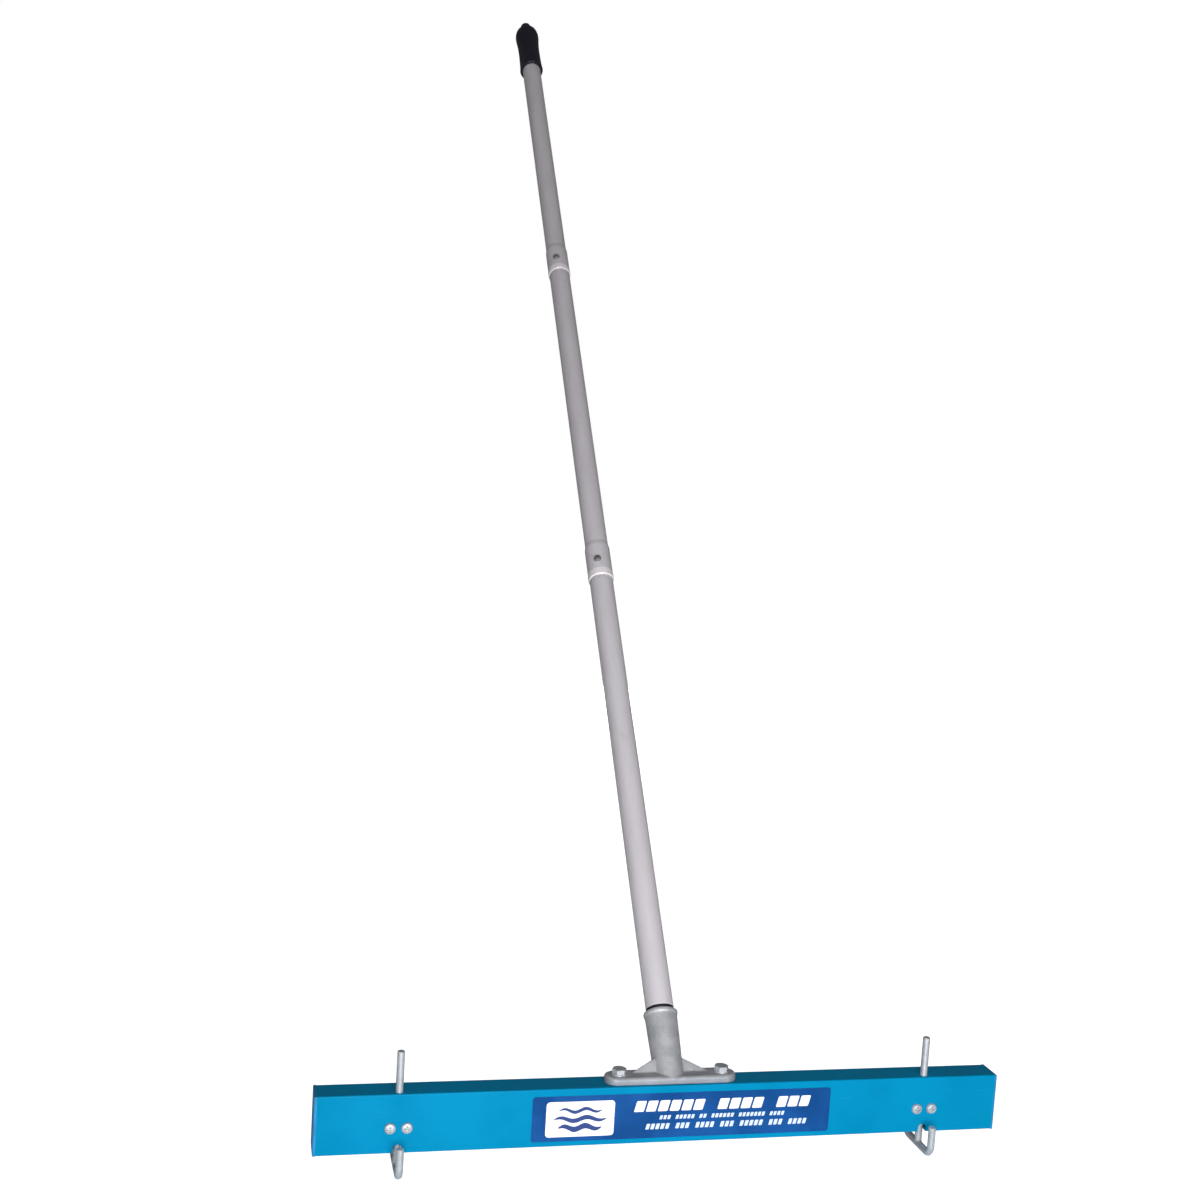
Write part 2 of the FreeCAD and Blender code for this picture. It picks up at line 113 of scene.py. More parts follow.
# Painted shade: the casting's flange is darkened with a bluish grey up to this height above the blade's
# top.
FLANGE_SHADE_FADE = (blade_high.z + 4.2 * MM, blade_high.z + 6.2 * MM)

# Camera and studio
CAMERA_EYE = Vector((-0.3682, -1.1756, 0.5523))
CAMERA_PAN = math.radians(12.794)
CAMERA_TILT = math.radians(-6.062)
CAMERA_ROLL = math.radians(3.389)
CAMERA_LENS = 44.03
CAMERA_SHIFT = (0.0154, 0.0405)
SENSOR_WIDTH = 36.0
FLOOR_SIZE = 60.0
FLOOR_GLOW = 0.93
STUDIO_FACING = Vector((-0.3, -0.95, 0.0)).normalized()
STUDIO_DIM = 0.1
STUDIO_BRIGHT = 0.5
WHITE = (1.0, 1.0, 1.0, 1.0)


class Finish:
    """A material under construction, with short ways to add its nodes."""

    def __init__(self, name):
        self.material = bpy.data.materials.new(name)
        self.material.use_nodes = True
        self.tree = self.material.node_tree
        self.shader = self.tree.nodes["Principled BSDF"]
        self.place = self.add("ShaderNodeTexCoord").outputs["Object"]

    def add(self, kind, inputs=None, **settings):
        """Add a node, set its properties and fill its inputs with values or links."""
        node = self.tree.nodes.new(kind)
        for name, value in settings.items():
            setattr(node, name, value)
        for key, value in (inputs or {}).items():
            self.feed(node.inputs[key], value)
        return node

    def feed(self, socket, value):
        """Link or set one input."""
        if isinstance(value, bpy.types.NodeSocket):
            self.tree.links.new(value, socket)
        else:
            socket.default_value = value

    def set(self, **inputs):
        """Fill inputs of the surface shader; underscores stand for spaces."""
        for name, value in inputs.items():
            self.feed(self.shader.inputs[name.replace("_", " ")], value)

    def math(self, operation, first, second=0.0):
        """One arithmetic step."""
        return self.add("ShaderNodeMath", {0: first, 1: second}, operation=operation).outputs[0]

    def stretch(self, vector, factors):
        """Multiply a place by a factor per axis."""
        return self.add("ShaderNodeVectorMath", {0: vector, 1: factors}, operation="MULTIPLY").outputs[0]

    def noise(self, vector, scale, detail=3.0, roughness=0.55):
        """Fractal noise from 0 to 1, its scale in waves per metre."""
        inputs = {"Vector": vector, "Scale": scale, "Detail": detail, "Roughness": roughness}
        return self.add("ShaderNodeTexNoise", inputs).outputs["Fac"]

    def spread(self, value, low, high, to_low=0.0, to_high=1.0):
        """Map a range smoothly onto another and clamp it."""
        inputs = {"Value": value, "From Min": low, "From Max": high, "To Min": to_low, "To Max": to_high}
        return self.add("ShaderNodeMapRange", inputs, interpolation_type="SMOOTHSTEP").outputs["Result"]

    def mix(self, factor, first, second):
        """Blend two colours."""
        inputs = {"Factor": factor, "A": first, "B": second}
        node = self.add("ShaderNodeMix", data_type="RGBA")
        for socket in node.inputs:
            if socket.name in inputs and socket.type in ("RGBA", "VALUE") and socket.enabled:
                self.feed(socket, inputs[socket.name])
        return node.outputs[2]

    def parts(self, vector):
        """The X, Y and Z of a place."""
        return self.add("ShaderNodeSeparateXYZ", {0: vector}).outputs

    def bumps(self, *layers):
        """Stack bump layers of (height, depth in metres) and feed the normal."""
        normal = None
        for height, depth in layers:
            inputs = {"Height": height, "Distance": depth, "Strength": 1.0}
            if normal is not None:
                inputs["Normal"] = normal
            normal = self.add("ShaderNodeBump", inputs).outputs[0]
        self.set(Normal=normal)

    def on_handle(self):
        """The place turned so that Z runs up the handle from its foot."""
        inputs = {"Vector": self.place, "Location": handle_foot, "Rotation": (-handle_lean, 0.0, 0.0)}
        return self.add("ShaderNodeMapping", inputs, vector_type="TEXTURE").outputs[0]


def srgb(red, green, blue):
    """A colour from 0-255 display values."""
    def linear(value):
        value /= 255
        return value / 12.92 if value <= 0.04045 else ((value + 0.055) / 1.055) ** 2.4
    return (linear(red), linear(green), linear(blue), 1.0)


def blade_paint():
    """Azure powder coat: orange peel, faint clouding, fine scuffs and a worn bottom edge."""
    f = Finish("blade_powder_coat")
    clouds = f.spread(f.noise(f.place, 14.0, 4.0), 0.3, 0.7)
    base = f.mix(clouds, srgb(0, 124, 167), srgb(0, 132, 177))
    smudge = f.spread(f.noise(f.stretch(f.place, (9.0, 30.0, 30.0)), 1.0, 5.0, 0.7), 0.56, 0.8)
    base = f.mix(f.math("MULTIPLY", smudge, 0.3), base, srgb(0, 126, 186))
    scratch_lines = f.noise(f.stretch(f.place, (22.0, 1500.0, 1500.0)), 1.0, 2.0)
    scratches = f.spread(scratch_lines, 0.69, 0.76)
    patches = f.spread(f.noise(f.place, 11.0, 2.0), 0.5, 0.62)
    scuffs = f.math("MULTIPLY", scratches, patches)
    base = f.mix(f.math("MULTIPLY", scuffs, 0.35), base, srgb(120, 190, 225))
    height = f.parts(f.place)[2]
    edge = f.spread(height, 0.3 * MM, 1.6 * MM, 1.0, 0.0)
    chips = f.spread(f.noise(f.place, 260.0, 4.0, 0.7), 0.62, 0.66)
    worn = f.math("MULTIPLY", edge, chips)
    base = f.mix(worn, base, srgb(150, 155, 160))
    peel = f.noise(f.place, 620.0, 2.0)
    grain = f.noise(f.place, 3200.0, 1.0)
    roughness = f.math("ADD", f.spread(clouds, 0.0, 1.0, 0.34, 0.44), f.math("MULTIPLY", scuffs, 0.2))
    f.set(Base_Color=base, Roughness=roughness, Metallic=worn)
    f.set(Specular_IOR_Level=0.04)
    f.bumps((peel, 0.05 * MM), (grain, 0.006 * MM), (f.math("MULTIPLY", worn, -1.0), 0.06 * MM))
    return f.material


def cap_plastic():
    """Moulded blue plastic with a fine spark-eroded texture."""
    f = Finish("end_cap_plastic")
    clouds = f.noise(f.place, 60.0, 3.0)
    base = f.mix(f.spread(clouds, 0.35, 0.65), srgb(0, 112, 165), srgb(0, 128, 184))
    rub = f.spread(f.noise(f.place, 330.0, 5.0, 0.7), 0.6, 0.7)
    base = f.mix(f.math("MULTIPLY", rub, 0.25), base, srgb(80, 150, 190))
    f.set(Base_Color=base, Roughness=f.spread(clouds, 0.3, 0.7, 0.42, 0.55))
    f.bumps((f.noise(f.place, 2600.0, 2.0), 0.02 * MM), (rub, 0.01 * MM))
    return f.material


def label_film():
    """Printed vinyl film: deep blue, glossy, slightly uneven where it was rubbed down."""
    f = Finish("label_vinyl")
    clouds = f.noise(f.place, 30.0, 3.0)
    base = f.mix(f.spread(clouds, 0.35, 0.65), srgb(0, 62, 122), srgb(4, 74, 140))
    dots = f.spread(f.noise(f.place, 2400.0, 1.0), 0.45, 0.6)
    base = f.mix(f.math("MULTIPLY", dots, 0.12), base, srgb(60, 110, 190))
    f.set(Base_Color=base, Roughness=f.spread(clouds, 0.3, 0.7, 0.28, 0.4))
    f.set(Specular_IOR_Level=0.2)
    f.bumps((f.noise(f.place, 90.0, 2.0), 0.08 * MM), (dots, 0.003 * MM))
    return f.material


def label_ink(name, light, dark):
    """Screen-printed ink on the film, a little thin in places."""
    f = Finish(name)
    thin = f.spread(f.noise(f.place, 700.0, 4.0, 0.7), 0.5, 0.75)
    base = f.mix(f.math("MULTIPLY", thin, 0.5), light, dark)
    f.set(Base_Color=base, Roughness=f.spread(thin, 0.0, 1.0, 0.4, 0.52))
    f.bumps((thin, 0.01 * MM))
    return f.material


def cast_metal():
    """Sand-cast aluminium: grainy skin, soft dents, darker pits, rubbed spots and painted shade on the
    flange edge.
    """
    f = Finish("cast_aluminium_skin")
    clouds = f.noise(f.place, 70.0, 4.0)
    grain = f.noise(f.place, 900.0, 4.0, 0.65)
    pits = f.spread(f.noise(f.place, 1500.0, 2.0), 0.62, 0.72)
    base = f.mix(f.spread(clouds, 0.35, 0.65), srgb(160, 163, 168), srgb(180, 182, 186))
    base = f.mix(f.math("MULTIPLY", f.spread(grain, 0.35, 0.75), 0.35), base, srgb(214, 214, 216))
    base = f.mix(f.math("MULTIPLY", pits, 0.55), base, srgb(96, 98, 102))
    height = f.parts(f.place)[2]
    # Painted shade: bluish grey darkening at the foot of the casting, where it meets the blade.
    flange_shade = f.math("MULTIPLY", f.spread(height, *FLANGE_SHADE_FADE, 1.0, 0.0), 0.6)
    base = f.mix(flange_shade, base, srgb(112, 120, 134))
    f.set(Base_Color=base, Roughness=f.spread(grain, 0.3, 0.7, 0.44, 0.62))
    f.set(Metallic=0.4)
    f.bumps((clouds, 0.25 * MM), (grain, 0.09 * MM), (f.math("MULTIPLY", pits, -1.0), 0.05 * MM))
    return f.material


def tube_metal():
    """Drawn aluminium tube: lines along it, handling marks, grime and a painted highlight band above
    each joint's mouth.
    """
    f = Finish("drawn_aluminium")
    place = f.on_handle()
    height = f.parts(place)[2]
    clouds = f.noise(f.stretch(place, (60.0, 60.0, 12.0)), 1.0, 4.0, 0.6)
    lines = f.noise(f.stretch(place, (2600.0, 2600.0, 14.0)), 1.0, 3.0, 0.6)
    base = f.mix(f.spread(clouds, 0.3, 0.7), srgb(213, 207, 214), srgb(222, 218, 224))
    base = f.mix(f.math("MULTIPLY", f.spread(lines, 0.3, 0.75), 0.3), base, srgb(226, 223, 227))
    marks = f.spread(f.noise(f.stretch(place, (180.0, 180.0, 45.0)), 1.0, 5.0, 0.75), 0.6, 0.74)
    base = f.mix(f.math("MULTIPLY", marks, 0.3), base, srgb(150, 146, 148))
    grime = []
    painted_highlights = []
    for node in ("middle_tube", "upper_tube"):
        mouth = along_handle(node)[0]
        above = f.math("SUBTRACT", height, mouth)
        grime.append(f.spread(f.math("ABSOLUTE", above), 0.0, GRIME_REACH, 1.0, 0.0))
        # Painted highlight: a band from each mouth up the tube that stands for the shine there.
        highlight_start = f.spread(above, *HIGHLIGHT_LOWER_FADE)
        highlight_end = f.spread(above, *HIGHLIGHT_UPPER_FADE, 1.0, 0.0)
        painted_highlights.append(f.math("MULTIPLY", highlight_start, highlight_end))
    dust = f.spread(f.noise(place, 330.0, 5.0, 0.7), 0.4, 0.65)
    dirt = f.math("MULTIPLY", f.math("MAXIMUM", *grime), dust)
    base = f.mix(f.math("MULTIPLY", dirt, 0.35), base, srgb(112, 108, 106))
    # Painted highlight: the bands are painted near-white into the tube's colour.
    base = f.mix(f.math("MULTIPLY", f.math("MAXIMUM", *painted_highlights), 0.9), base, srgb(255, 250, 255))
    roughness = f.spread(lines, 0.25, 0.75, 0.34, 0.46)
    roughness = f.math("ADD", roughness, f.math("MULTIPLY", marks, 0.12))
    f.set(Base_Color=base, Roughness=roughness)
    f.set(Metallic=0.25)
    f.bumps((clouds, 0.05 * MM), (lines, 0.008 * MM))
    return f.material


def zinc_metal(name="bright_zinc", tint=(196, 201, 207), dull=(174, 178, 183)):
    """Bright zinc plate: cool sheen, drawn lines down the rod, white bloom and small stains."""
    f = Finish(name)
    clouds = f.noise(f.place, 150.0, 4.0, 0.6)
    lines = f.noise(f.stretch(f.place, (2800.0, 2800.0, 60.0)), 1.0, 2.0)
    base = f.mix(f.spread(clouds, 0.35, 0.68), srgb(*tint), srgb(*dull))
    bloom = f.spread(f.noise(f.place, 520.0, 5.0, 0.75), 0.58, 0.72)
    base = f.mix(f.math("MULTIPLY", bloom, 0.16), base, srgb(246, 247, 244))
    stain = f.spread(f.noise(f.place, 90.0, 5.0, 0.75), 0.66, 0.78)
    base = f.mix(f.math("MULTIPLY", stain, 0.35), base, srgb(120, 108, 94))
    roughness = f.math("ADD", f.spread(clouds, 0.3, 0.7, 0.36, 0.48), f.math("MULTIPLY", bloom, 0.15))
    f.set(Base_Color=base, Roughness=roughness)
    f.set(Metallic=0.5)
    f.bumps((lines, 0.002 * MM), (bloom, 0.003 * MM))
    return f.material


def spring_metal():
    """Blued spring strip, straw-coloured where it was tempered."""
    f = Finish("tempered_strip")
    clouds = f.noise(f.place, 220.0, 4.0)
    base = f.mix(f.spread(clouds, 0.35, 0.7), srgb(74, 78, 88), srgb(118, 108, 92))
    scale = f.spread(f.noise(f.place, 900.0, 3.0), 0.5, 0.7)
    f.set(Base_Color=base, Roughness=f.spread(scale, 0.0, 1.0, 0.32, 0.5))
    f.set(Metallic=1.0)
    f.bumps((scale, 0.01 * MM))
    return f.material


def washer_rubber():
    """Dark rubber with a dusty, pressed surface."""
    f = Finish("washer_compound")
    dust = f.spread(f.noise(f.place, 420.0, 5.0, 0.7), 0.5, 0.75)
    base = f.mix(f.math("MULTIPLY", dust, 0.5), srgb(16, 16, 17), srgb(58, 57, 56))
    f.set(Base_Color=base, Roughness=f.spread(dust, 0.0, 1.0, 0.62, 0.85))
    f.bumps((f.noise(f.place, 1800.0, 3.0), 0.03 * MM))
    return f.material


def grip_vinyl():
    """Dipped vinyl: almost black with a blue cast, pebbled, dusty in the hollows."""
    f = Finish("dipped_vinyl")
    place = f.on_handle()
    clouds = f.noise(place, 60.0, 4.0)
    base = f.mix(f.spread(clouds, 0.35, 0.65), srgb(15, 10, 26), srgb(28, 22, 42))
    dust = f.spread(f.noise(f.stretch(place, (240.0, 240.0, 120.0)), 1.0, 5.0, 0.75), 0.6, 0.8)
    base = f.mix(f.math("MULTIPLY", dust, 0.3), base, srgb(84, 82, 90))
    pebble = f.add("ShaderNodeTexVoronoi", {"Vector": place, "Scale": 900.0}).outputs["Distance"]
    roughness = f.math("ADD", f.spread(clouds, 0.3, 0.7, 0.36, 0.5), f.math("MULTIPLY", dust, 0.2))
    f.set(Base_Color=base, Roughness=roughness)
    f.set(Specular_IOR_Level=0.45)
    f.bumps((pebble, 0.05 * MM), (f.noise(place, 140.0, 2.0), 0.1 * MM))
    return f.material


def worn_button():
    """Plated steel that thumbs and grit have dulled."""
    return zinc_metal("worn_steel", (150, 148, 148), (104, 102, 102))


def join_faces(name):
    """Free a CAD node's shading for modifiers and join its faces; its own mesh stays as it is."""
    piece = nodes[name]
    mesh = piece.data
    if "custom_normal" in mesh.attributes:
        mesh.attributes.remove(mesh.attributes["custom_normal"])
    piece.modifiers.new("join", "WELD").merge_threshold = WELD_DISTANCE
    return piece


def soften(name, width):
    """Round a CAD node's sharp edges with modifiers."""
    piece = join_faces(name)
    mesh = piece.data
    smooth_all(mesh)
    mesh.edges.foreach_set("use_edge_sharp", [False] * len(mesh.edges))
    bevel = piece.modifiers.new("edges", "BEVEL")
    bevel.width = width
    bevel.segments = 3
    bevel.limit_method = "ANGLE"
    bevel.angle_limit = math.radians(32)
    bevel.miter_outer = "MITER_ARC"
    normals = piece.modifiers.new("normals", "WEIGHTED_NORMAL")
    normals.keep_sharp = True


def smooth_all(mesh):
    """Shade every face of a mesh smooth."""
    mesh.polygons.foreach_set("use_smooth", [True] * len(mesh.polygons))


def cast_skin(name):
    """Give a casting its soft fillets and uneven skin with modifiers."""
    piece = join_faces(name)
    remesh = piece.modifiers.new("skin", "REMESH")
    remesh.mode = "VOXEL"
    remesh.voxel_size = 0.55 * MM
    remesh.use_smooth_shade = True
    fillets = piece.modifiers.new("fillets", "SMOOTH")
    fillets.factor = 0.5
    fillets.iterations = 7
    dents = bpy.data.textures.new("casting_dents", "CLOUDS")
    dents.noise_scale = 7 * MM
    uneven = piece.modifiers.new("uneven", "DISPLACE")
    uneven.texture = dents
    uneven.texture_coords = "LOCAL"
    uneven.strength = 0.35 * MM
    uneven.mid_level = 0.5


def add_piece(name, bm, material, body):
    """Turn a bmesh into a piece that rides on a body."""
    bmesh.ops.recalc_face_normals(bm, faces=bm.faces)
    mesh = bpy.data.meshes.new(name)
    bm.to_mesh(mesh)
    bm.free()
    mesh.materials.append(material)
    piece = bpy.data.objects.new(name, mesh)
    bpy.context.scene.collection.objects.link(piece)
    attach(piece, body)
    return piece


def plate_from_outline(bm, outline, front, back):
    """Add a flat plate with an outline of (x, z) corners between two Y planes."""
    faces = []
    for y in (front, back):
        faces.append([bm.verts.new((x, y, z)) for x, z in outline])
    bm.faces.new(faces[0])
    bm.faces.new(list(reversed(faces[1])))
    count = len(outline)
    for index in range(count):
        after = (index + 1) % count
        bm.faces.new([faces[0][index], faces[1][index], faces[1][after], faces[0][after]])


def rounded_outline(x0, z0, x1, z1, radius, slant=0.0, steps=6):
    """Corners of a rectangle with round corners, sheared by a slant."""
    outline = []
    corners = [(x1, z0, -90), (x1, z1, 0), (x0, z1, 90), (x0, z0, 180)]
    for x, z, start in corners:
        centre_x = x + math.copysign(radius, (x0 + x1) / 2 - x)
        centre_z = z + math.copysign(radius, (z0 + z1) / 2 - z)
        for step in range(steps + 1):
            angle = math.radians(start + 90 * step / steps)
            px = centre_x + radius * math.cos(angle)
            pz = centre_z + radius * math.sin(angle)
            outline.append((px + slant * (pz - z0), pz))
    return outline


def make_label():
    """The sticker: a blue film with a white panel of waves and rows of plain slanted blocks."""
    front = label_low.y
    ink_front = front - INK_THICKNESS
    centre_x = (label_low.x + label_high.x) / 2
    bm = bmesh.new()
    film = rounded_outline(label_low.x, label_low.z, label_high.x, label_high.z, LABEL_CORNER)
    plate_from_outline(bm, film, front, label_high.y)
    piece = add_piece("label_film", bm, label_film(), "blade")
    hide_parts("label")

    white = label_ink("ink_white", srgb(250, 250, 252), srgb(215, 222, 235))
    pale = label_ink("ink_pale", srgb(206, 220, 240), srgb(120, 150, 205))
    navy = label_ink("ink_navy", srgb(28, 56, 120), srgb(66, 96, 160))

    panel_left = label_low.x + PANEL_INSET
    panel_right = panel_left + PANEL_LENGTH
    panel_bottom = label_low.z + PANEL_MARGIN_BELOW
    panel_top = label_high.z - PANEL_MARGIN_ABOVE
    bm = bmesh.new()
    panel = rounded_outline(panel_left, panel_bottom, panel_right, panel_top, PANEL_CORNER)
    plate_from_outline(bm, panel, ink_front, front)
    add_piece("label_panel", bm, white, "blade")

    bm = bmesh.new()
    panel_middle_x = (panel_left + panel_right) / 2
    panel_middle_z = (panel_bottom + panel_top) / 2
    for row in (-1, 0, 1):
        level = panel_middle_z + row * WAVE_SPACING
        half_length = (23 - 4 * abs(row)) * MM
        half_height = (2.1 - 0.5 * row) * MM
        band(bm, panel_middle_x, level, half_length, half_height, ink_front - INK_THICKNESS, ink_front)
    add_piece("label_waves", bm, navy, "blade")

    bm = bmesh.new()
    title_ends = (centre_x - 45 * MM, centre_x + 115 * MM)
    row_of_blocks(bm, title_ends, label_low.z + 23.8 * MM, 9.6 * MM, (6, 4, 3), 0.82, ink_front, front)
    add_piece("label_title", bm, white, "blade")

    bm = bmesh.new()
    ends = (centre_x - 22 * MM, centre_x + 92 * MM)
    words = (3, 5, 2, 6, 7, 4)
    row_of_blocks(bm, ends, label_low.z + 16.4 * MM, 3.6 * MM, words, 0.7, ink_front, front)
    ends = (centre_x - 34 * MM, centre_x + 113 * MM)
    words = (5, 3, 4, 3, 5, 3, 4)
    row_of_blocks(bm, ends, label_low.z + 7.8 * MM, 5.0 * MM, words, 0.7, ink_front, front)
    add_piece("label_small_rows", bm, pale, "blade")


def row_of_blocks(bm, ends, bottom, height, words, fill, front, back):
    """A row of slanted blocks in groups, which stands in for a line of print."""
    pitch = (ends[1] - ends[0]) / (sum(words) + WORD_GAP * (len(words) - 1))
    x = ends[0]
    for count in words:
        for _ in range(count):
            right = x + pitch * fill
            block = rounded_outline(x, bottom, right, bottom + height, 0.1 * height, slant=BLOCK_SLANT)
            plate_from_outline(bm, block, front, back)
            x += pitch
        x += pitch * WORD_GAP


def band(bm, centre, level, half_length, half_height, front, back):
    """A wavy band with pointed ends, as a sign for a flowing floor compound."""
    steps = 36
    upper, lower = [], []
    for step in range(steps + 1):
        share = step / steps
        x = centre + (2 * share - 1) * half_length
        wave = WAVE_HEIGHT * math.sin(share * 4 * math.pi)
        thick = half_height * math.sqrt(max(0.02, 1 - (2 * share - 1) ** 2))
        upper.append((x, level + wave + thick))
        lower.append((x, level + wave - thick))
    plate_from_outline(bm, lower + list(reversed(upper)), front, back)


def skin_rings(bm, rings):
    """Join rings of corners into a skin; its two ends are left open."""
    for first, second in zip(rings, rings[1:]):
        count = len(first)
        for index in range(count):
            after = (index + 1) % count
            bm.faces.new([first[index], first[after], second[after], second[index]])


def weld_bead(word):
    """Two rippled beads that join a post to the runner below it."""
    post_low, post_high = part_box("skid_post_" + word)
    radius = (post_high.x - post_low.x) / 2
    centre = Vector(((post_low.x + post_high.x) / 2, (post_low.y + post_high.y) / 2, post_low.z))
    bm = bmesh.new()
    stations = 56
    around = 12
    for facing in (90, -90):
        rings = []
        for station in range(stations + 1):
            share = station / stations
            angle = math.radians(facing + (share - 0.5) * BEAD_ARC)
            out = Vector((math.cos(angle), math.sin(angle), 0))
            rise = radius * abs(math.sin(angle))
            middle = centre + out * (radius + 0.15 * MM) + Vector((0, 0, rise - 0.1 * MM))
            ripple = 1 + 0.14 * math.sin(share * 2 * math.pi * 9)
            uneven = 1 + 0.25 * noise.noise(middle * 420)
            taper = math.sqrt(max(0.05, 1 - (2 * share - 1) ** 4))
            size = BEAD_THICKNESS * ripple * uneven * taper
            ring = []
            for index in range(around):
                turn = 2 * math.pi * index / around
                spoke = out * math.cos(turn) + Vector((0, 0, math.sin(turn)))
                ring.append(bm.verts.new(middle + spoke * size))
            rings.append(ring)
        skin_rings(bm, rings)
        bm.faces.new(rings[0])
        bm.faces.new(list(reversed(rings[-1])))
    plated = zinc_metal("weld_zinc_" + word, (176, 177, 178), (120, 118, 116))
    piece = add_piece("weld_" + word, bm, plated, "skid_" + word)
    smooth_all(piece.data)


def turned_skin(bm, profile, around):
    """A closed skin about the handle's axis: profile rows are (height, radius of angle)."""
    rings = []
    for height, radius in profile:
        ring = []
        for index in range(around):
            angle = 2 * math.pi * index / around
            size = radius(angle)
            point = Vector((size * math.cos(angle), size * math.sin(angle), height))
            ring.append(bm.verts.new(handle_frame @ point))
        rings.append(ring)
    skin_rings(bm, rings)
    bm.faces.new(list(reversed(rings[0])))
    bm.faces.new(rings[-1])


def make_tip():
    """The handle's coarse thread, which shows when the handle is unscrewed, and its plug."""
    low, high = along_handle("threaded_tip")
    thread_end = along_handle("lower_tube")[0]
    bm = bmesh.new()

    def thread(height):
        def radius(angle):
            phase = (height / THREAD_PITCH - angle / (2 * math.pi)) % 1.0
            tooth = min(1.0, max(0.0, 2.2 - abs(phase - 0.5) * 6))
            fade = min(1.0, (height - low) / THREAD_PITCH)
            return THREAD_ROOT + (THREAD_CREST - THREAD_ROOT) * tooth * fade
        return radius

    steps = int((thread_end - low) / THREAD_STEP)
    heights = [low + (thread_end - low) * step / steps for step in range(steps + 1)]
    profile = [(height, thread(height)) for height in heights]
    profile.append((thread_end, lambda angle: PLUG_RADIUS))
    profile.append((high - PLUG_CHAMFER, lambda angle: PLUG_RADIUS))
    profile.append((high, lambda angle: PLUG_RADIUS - PLUG_CHAMFER))
    turned_skin(bm, profile, 72)
    plated = zinc_metal("thread_metal", (186, 187, 190), (140, 141, 144))
    piece = add_piece("tip_thread", bm, plated, "handle")
    smooth_all(piece.data)
    piece.data.set_sharp_from_angle(angle=math.radians(40))
    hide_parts("threaded_tip")


def make_materials():
    """Give every CAD node its finish."""
    zinc = zinc_metal()
    tube = tube_metal()
    cap = cap_plastic()
    spring = spring_metal()
    cast = cast_metal()
    finishes = {
        "blade_tube": blade_paint(),
        "handle_socket": cast,
        "threaded_tip": cast,
        "tip_washer": washer_rubber(),
        "hand_grip": grip_vinyl(),
    }
    for name in ("lower_tube", "middle_tube", "upper_tube"):
        finishes[name] = tube
    for name in ("end_cap_left", "end_cap_right"):
        finishes[name] = cap
    for name in ("button_spring_lower", "button_spring_upper"):
        finishes[name] = spring
    button = worn_button()
    for name in ("spring_button_lower", "spring_button_upper"):
        finishes[name] = button
    for name, piece in nodes.items():
        material = finishes.get(name, zinc)
        for index in range(len(piece.data.materials)):
            piece.data.materials[index] = material


def make_floor():
    """A plain pale floor under the lowest point of the object."""
    level = cad_bounds[0].z
    half = FLOOR_SIZE / 2
    mesh = bpy.data.meshes.new("floor")
    corners = [(-half, -half, level), (half, -half, level), (half, half, level), (-half, half, level)]
    mesh.from_pydata(corners, [], [(0, 1, 2, 3)])
    f = Finish("pale_floor")
    cloud = f.noise(f.place, 3.0, 2.0)
    base = f.mix(f.spread(cloud, 0.3, 0.7), (0.8, 0.8, 0.8, 1), (0.84, 0.84, 0.84, 1))
    f.set(Base_Color=base, Roughness=0.8, Specular_IOR_Level=0.0)
    seen = f.add("ShaderNodeLightPath").outputs["Is Camera Ray"]
    f.set(Emission_Color=WHITE, Emission_Strength=f.math("MULTIPLY", seen, FLOOR_GLOW))
    mesh.materials.append(f.material)
    floor = bpy.data.objects.new("floor", mesh)
    bpy.context.scene.collection.objects.link(floor)


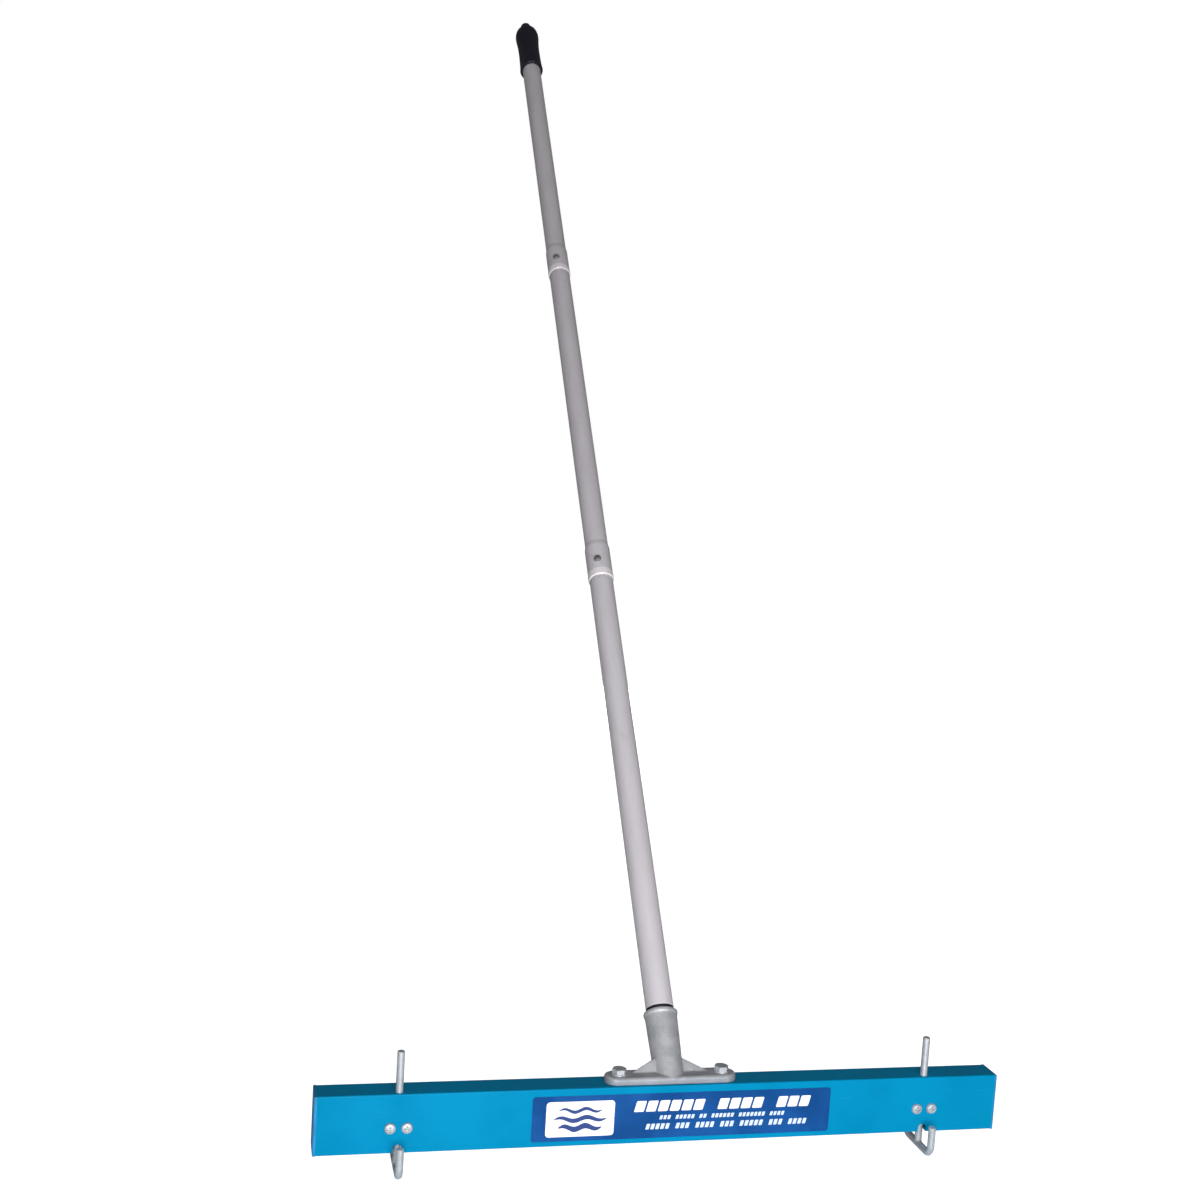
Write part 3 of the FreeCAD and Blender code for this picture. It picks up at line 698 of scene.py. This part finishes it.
def make_world():
    """A soft studio: bright in front, dim behind and above, plain white to the camera."""
    scene = bpy.context.scene
    world = bpy.data.worlds.new("studio")
    scene.world = world
    world.use_nodes = True
    tree = world.node_tree
    tree.nodes.clear()
    links = tree.links
    place = tree.nodes.new("ShaderNodeTexCoord")
    facing = tree.nodes.new("ShaderNodeVectorMath")
    facing.operation = "DOT_PRODUCT"
    facing.inputs[1].default_value = STUDIO_FACING
    links.new(place.outputs["Generated"], facing.inputs[0])
    ramp = tree.nodes.new("ShaderNodeMapRange")
    ramp.interpolation_type = "SMOOTHSTEP"
    ramp.inputs["From Min"].default_value = 0.0
    ramp.inputs["From Max"].default_value = 0.95
    ramp.inputs["To Min"].default_value = STUDIO_DIM
    ramp.inputs["To Max"].default_value = STUDIO_BRIGHT
    links.new(facing.outputs["Value"], ramp.inputs["Value"])
    soft = tree.nodes.new("ShaderNodeBackground")
    soft.inputs["Color"].default_value = WHITE
    links.new(ramp.outputs["Result"], soft.inputs["Strength"])
    white = tree.nodes.new("ShaderNodeBackground")
    white.inputs["Color"].default_value = WHITE
    white.inputs["Strength"].default_value = 1.0
    seen = tree.nodes.new("ShaderNodeLightPath")
    choose = tree.nodes.new("ShaderNodeMixShader")
    links.new(seen.outputs["Is Camera Ray"], choose.inputs[0])
    links.new(soft.outputs[0], choose.inputs[1])
    links.new(white.outputs[0], choose.inputs[2])
    output = tree.nodes.new("ShaderNodeOutputWorld")
    links.new(choose.outputs[0], output.inputs["Surface"])
    scene.view_settings.view_transform = "Standard"


def add_softbox(name, place, aim, size, power):
    """A large rectangular light that points at a place."""
    light = bpy.data.lights.new(name, "AREA")
    light.shape = "RECTANGLE"
    light.size, light.size_y = size
    light.energy = power
    lamp = bpy.data.objects.new(name, light)
    lamp.location = place
    lamp.visible_camera = False
    lamp.rotation_euler = (aim - place).to_track_quat("-Z", "Y").to_euler()
    bpy.context.scene.collection.objects.link(lamp)
    return lamp


def make_camera():
    """The camera stands left of the middle, a little above the blade, and looks slightly down."""
    data = bpy.data.cameras.new("camera")
    data.lens = CAMERA_LENS
    data.sensor_width = SENSOR_WIDTH
    data.shift_x, data.shift_y = CAMERA_SHIFT
    data.clip_start, data.clip_end = 0.05, 100.0
    camera = bpy.data.objects.new("camera", data)
    aim = Matrix.Rotation(-CAMERA_PAN, 4, "Z") @ Matrix.Rotation(math.pi / 2 + CAMERA_TILT, 4, "X")
    camera.matrix_world = Matrix.Translation(CAMERA_EYE) @ aim @ Matrix.Rotation(CAMERA_ROLL, 4, "Z")
    bpy.context.scene.collection.objects.link(camera)
    bpy.context.scene.camera = camera


make_materials()
cast_skin("handle_socket")
for node in ("socket_bolts", "socket_washers", "end_cap_left", "end_cap_right"):
    soften(node, 0.35 * MM)
for word in ("left", "right"):
    for place in ("a", "b"):
        soften("clamp_screw_" + word + "_" + place, 0.22 * MM)
    weld_bead(word)
make_label()
make_tip()
make_floor()
make_world()
add_softbox("key", Vector((-0.18, -1.45, 0.16)), Vector((0.1, 0, 0.32)), (0.9, 0.8), 38.0)
fill = add_softbox("back", Vector((0.8, 3.0, 0.5)), Vector((0, 0.3, 0.3)), (1.6, 0.8), 40.0)
fill.visible_glossy = False
make_camera()
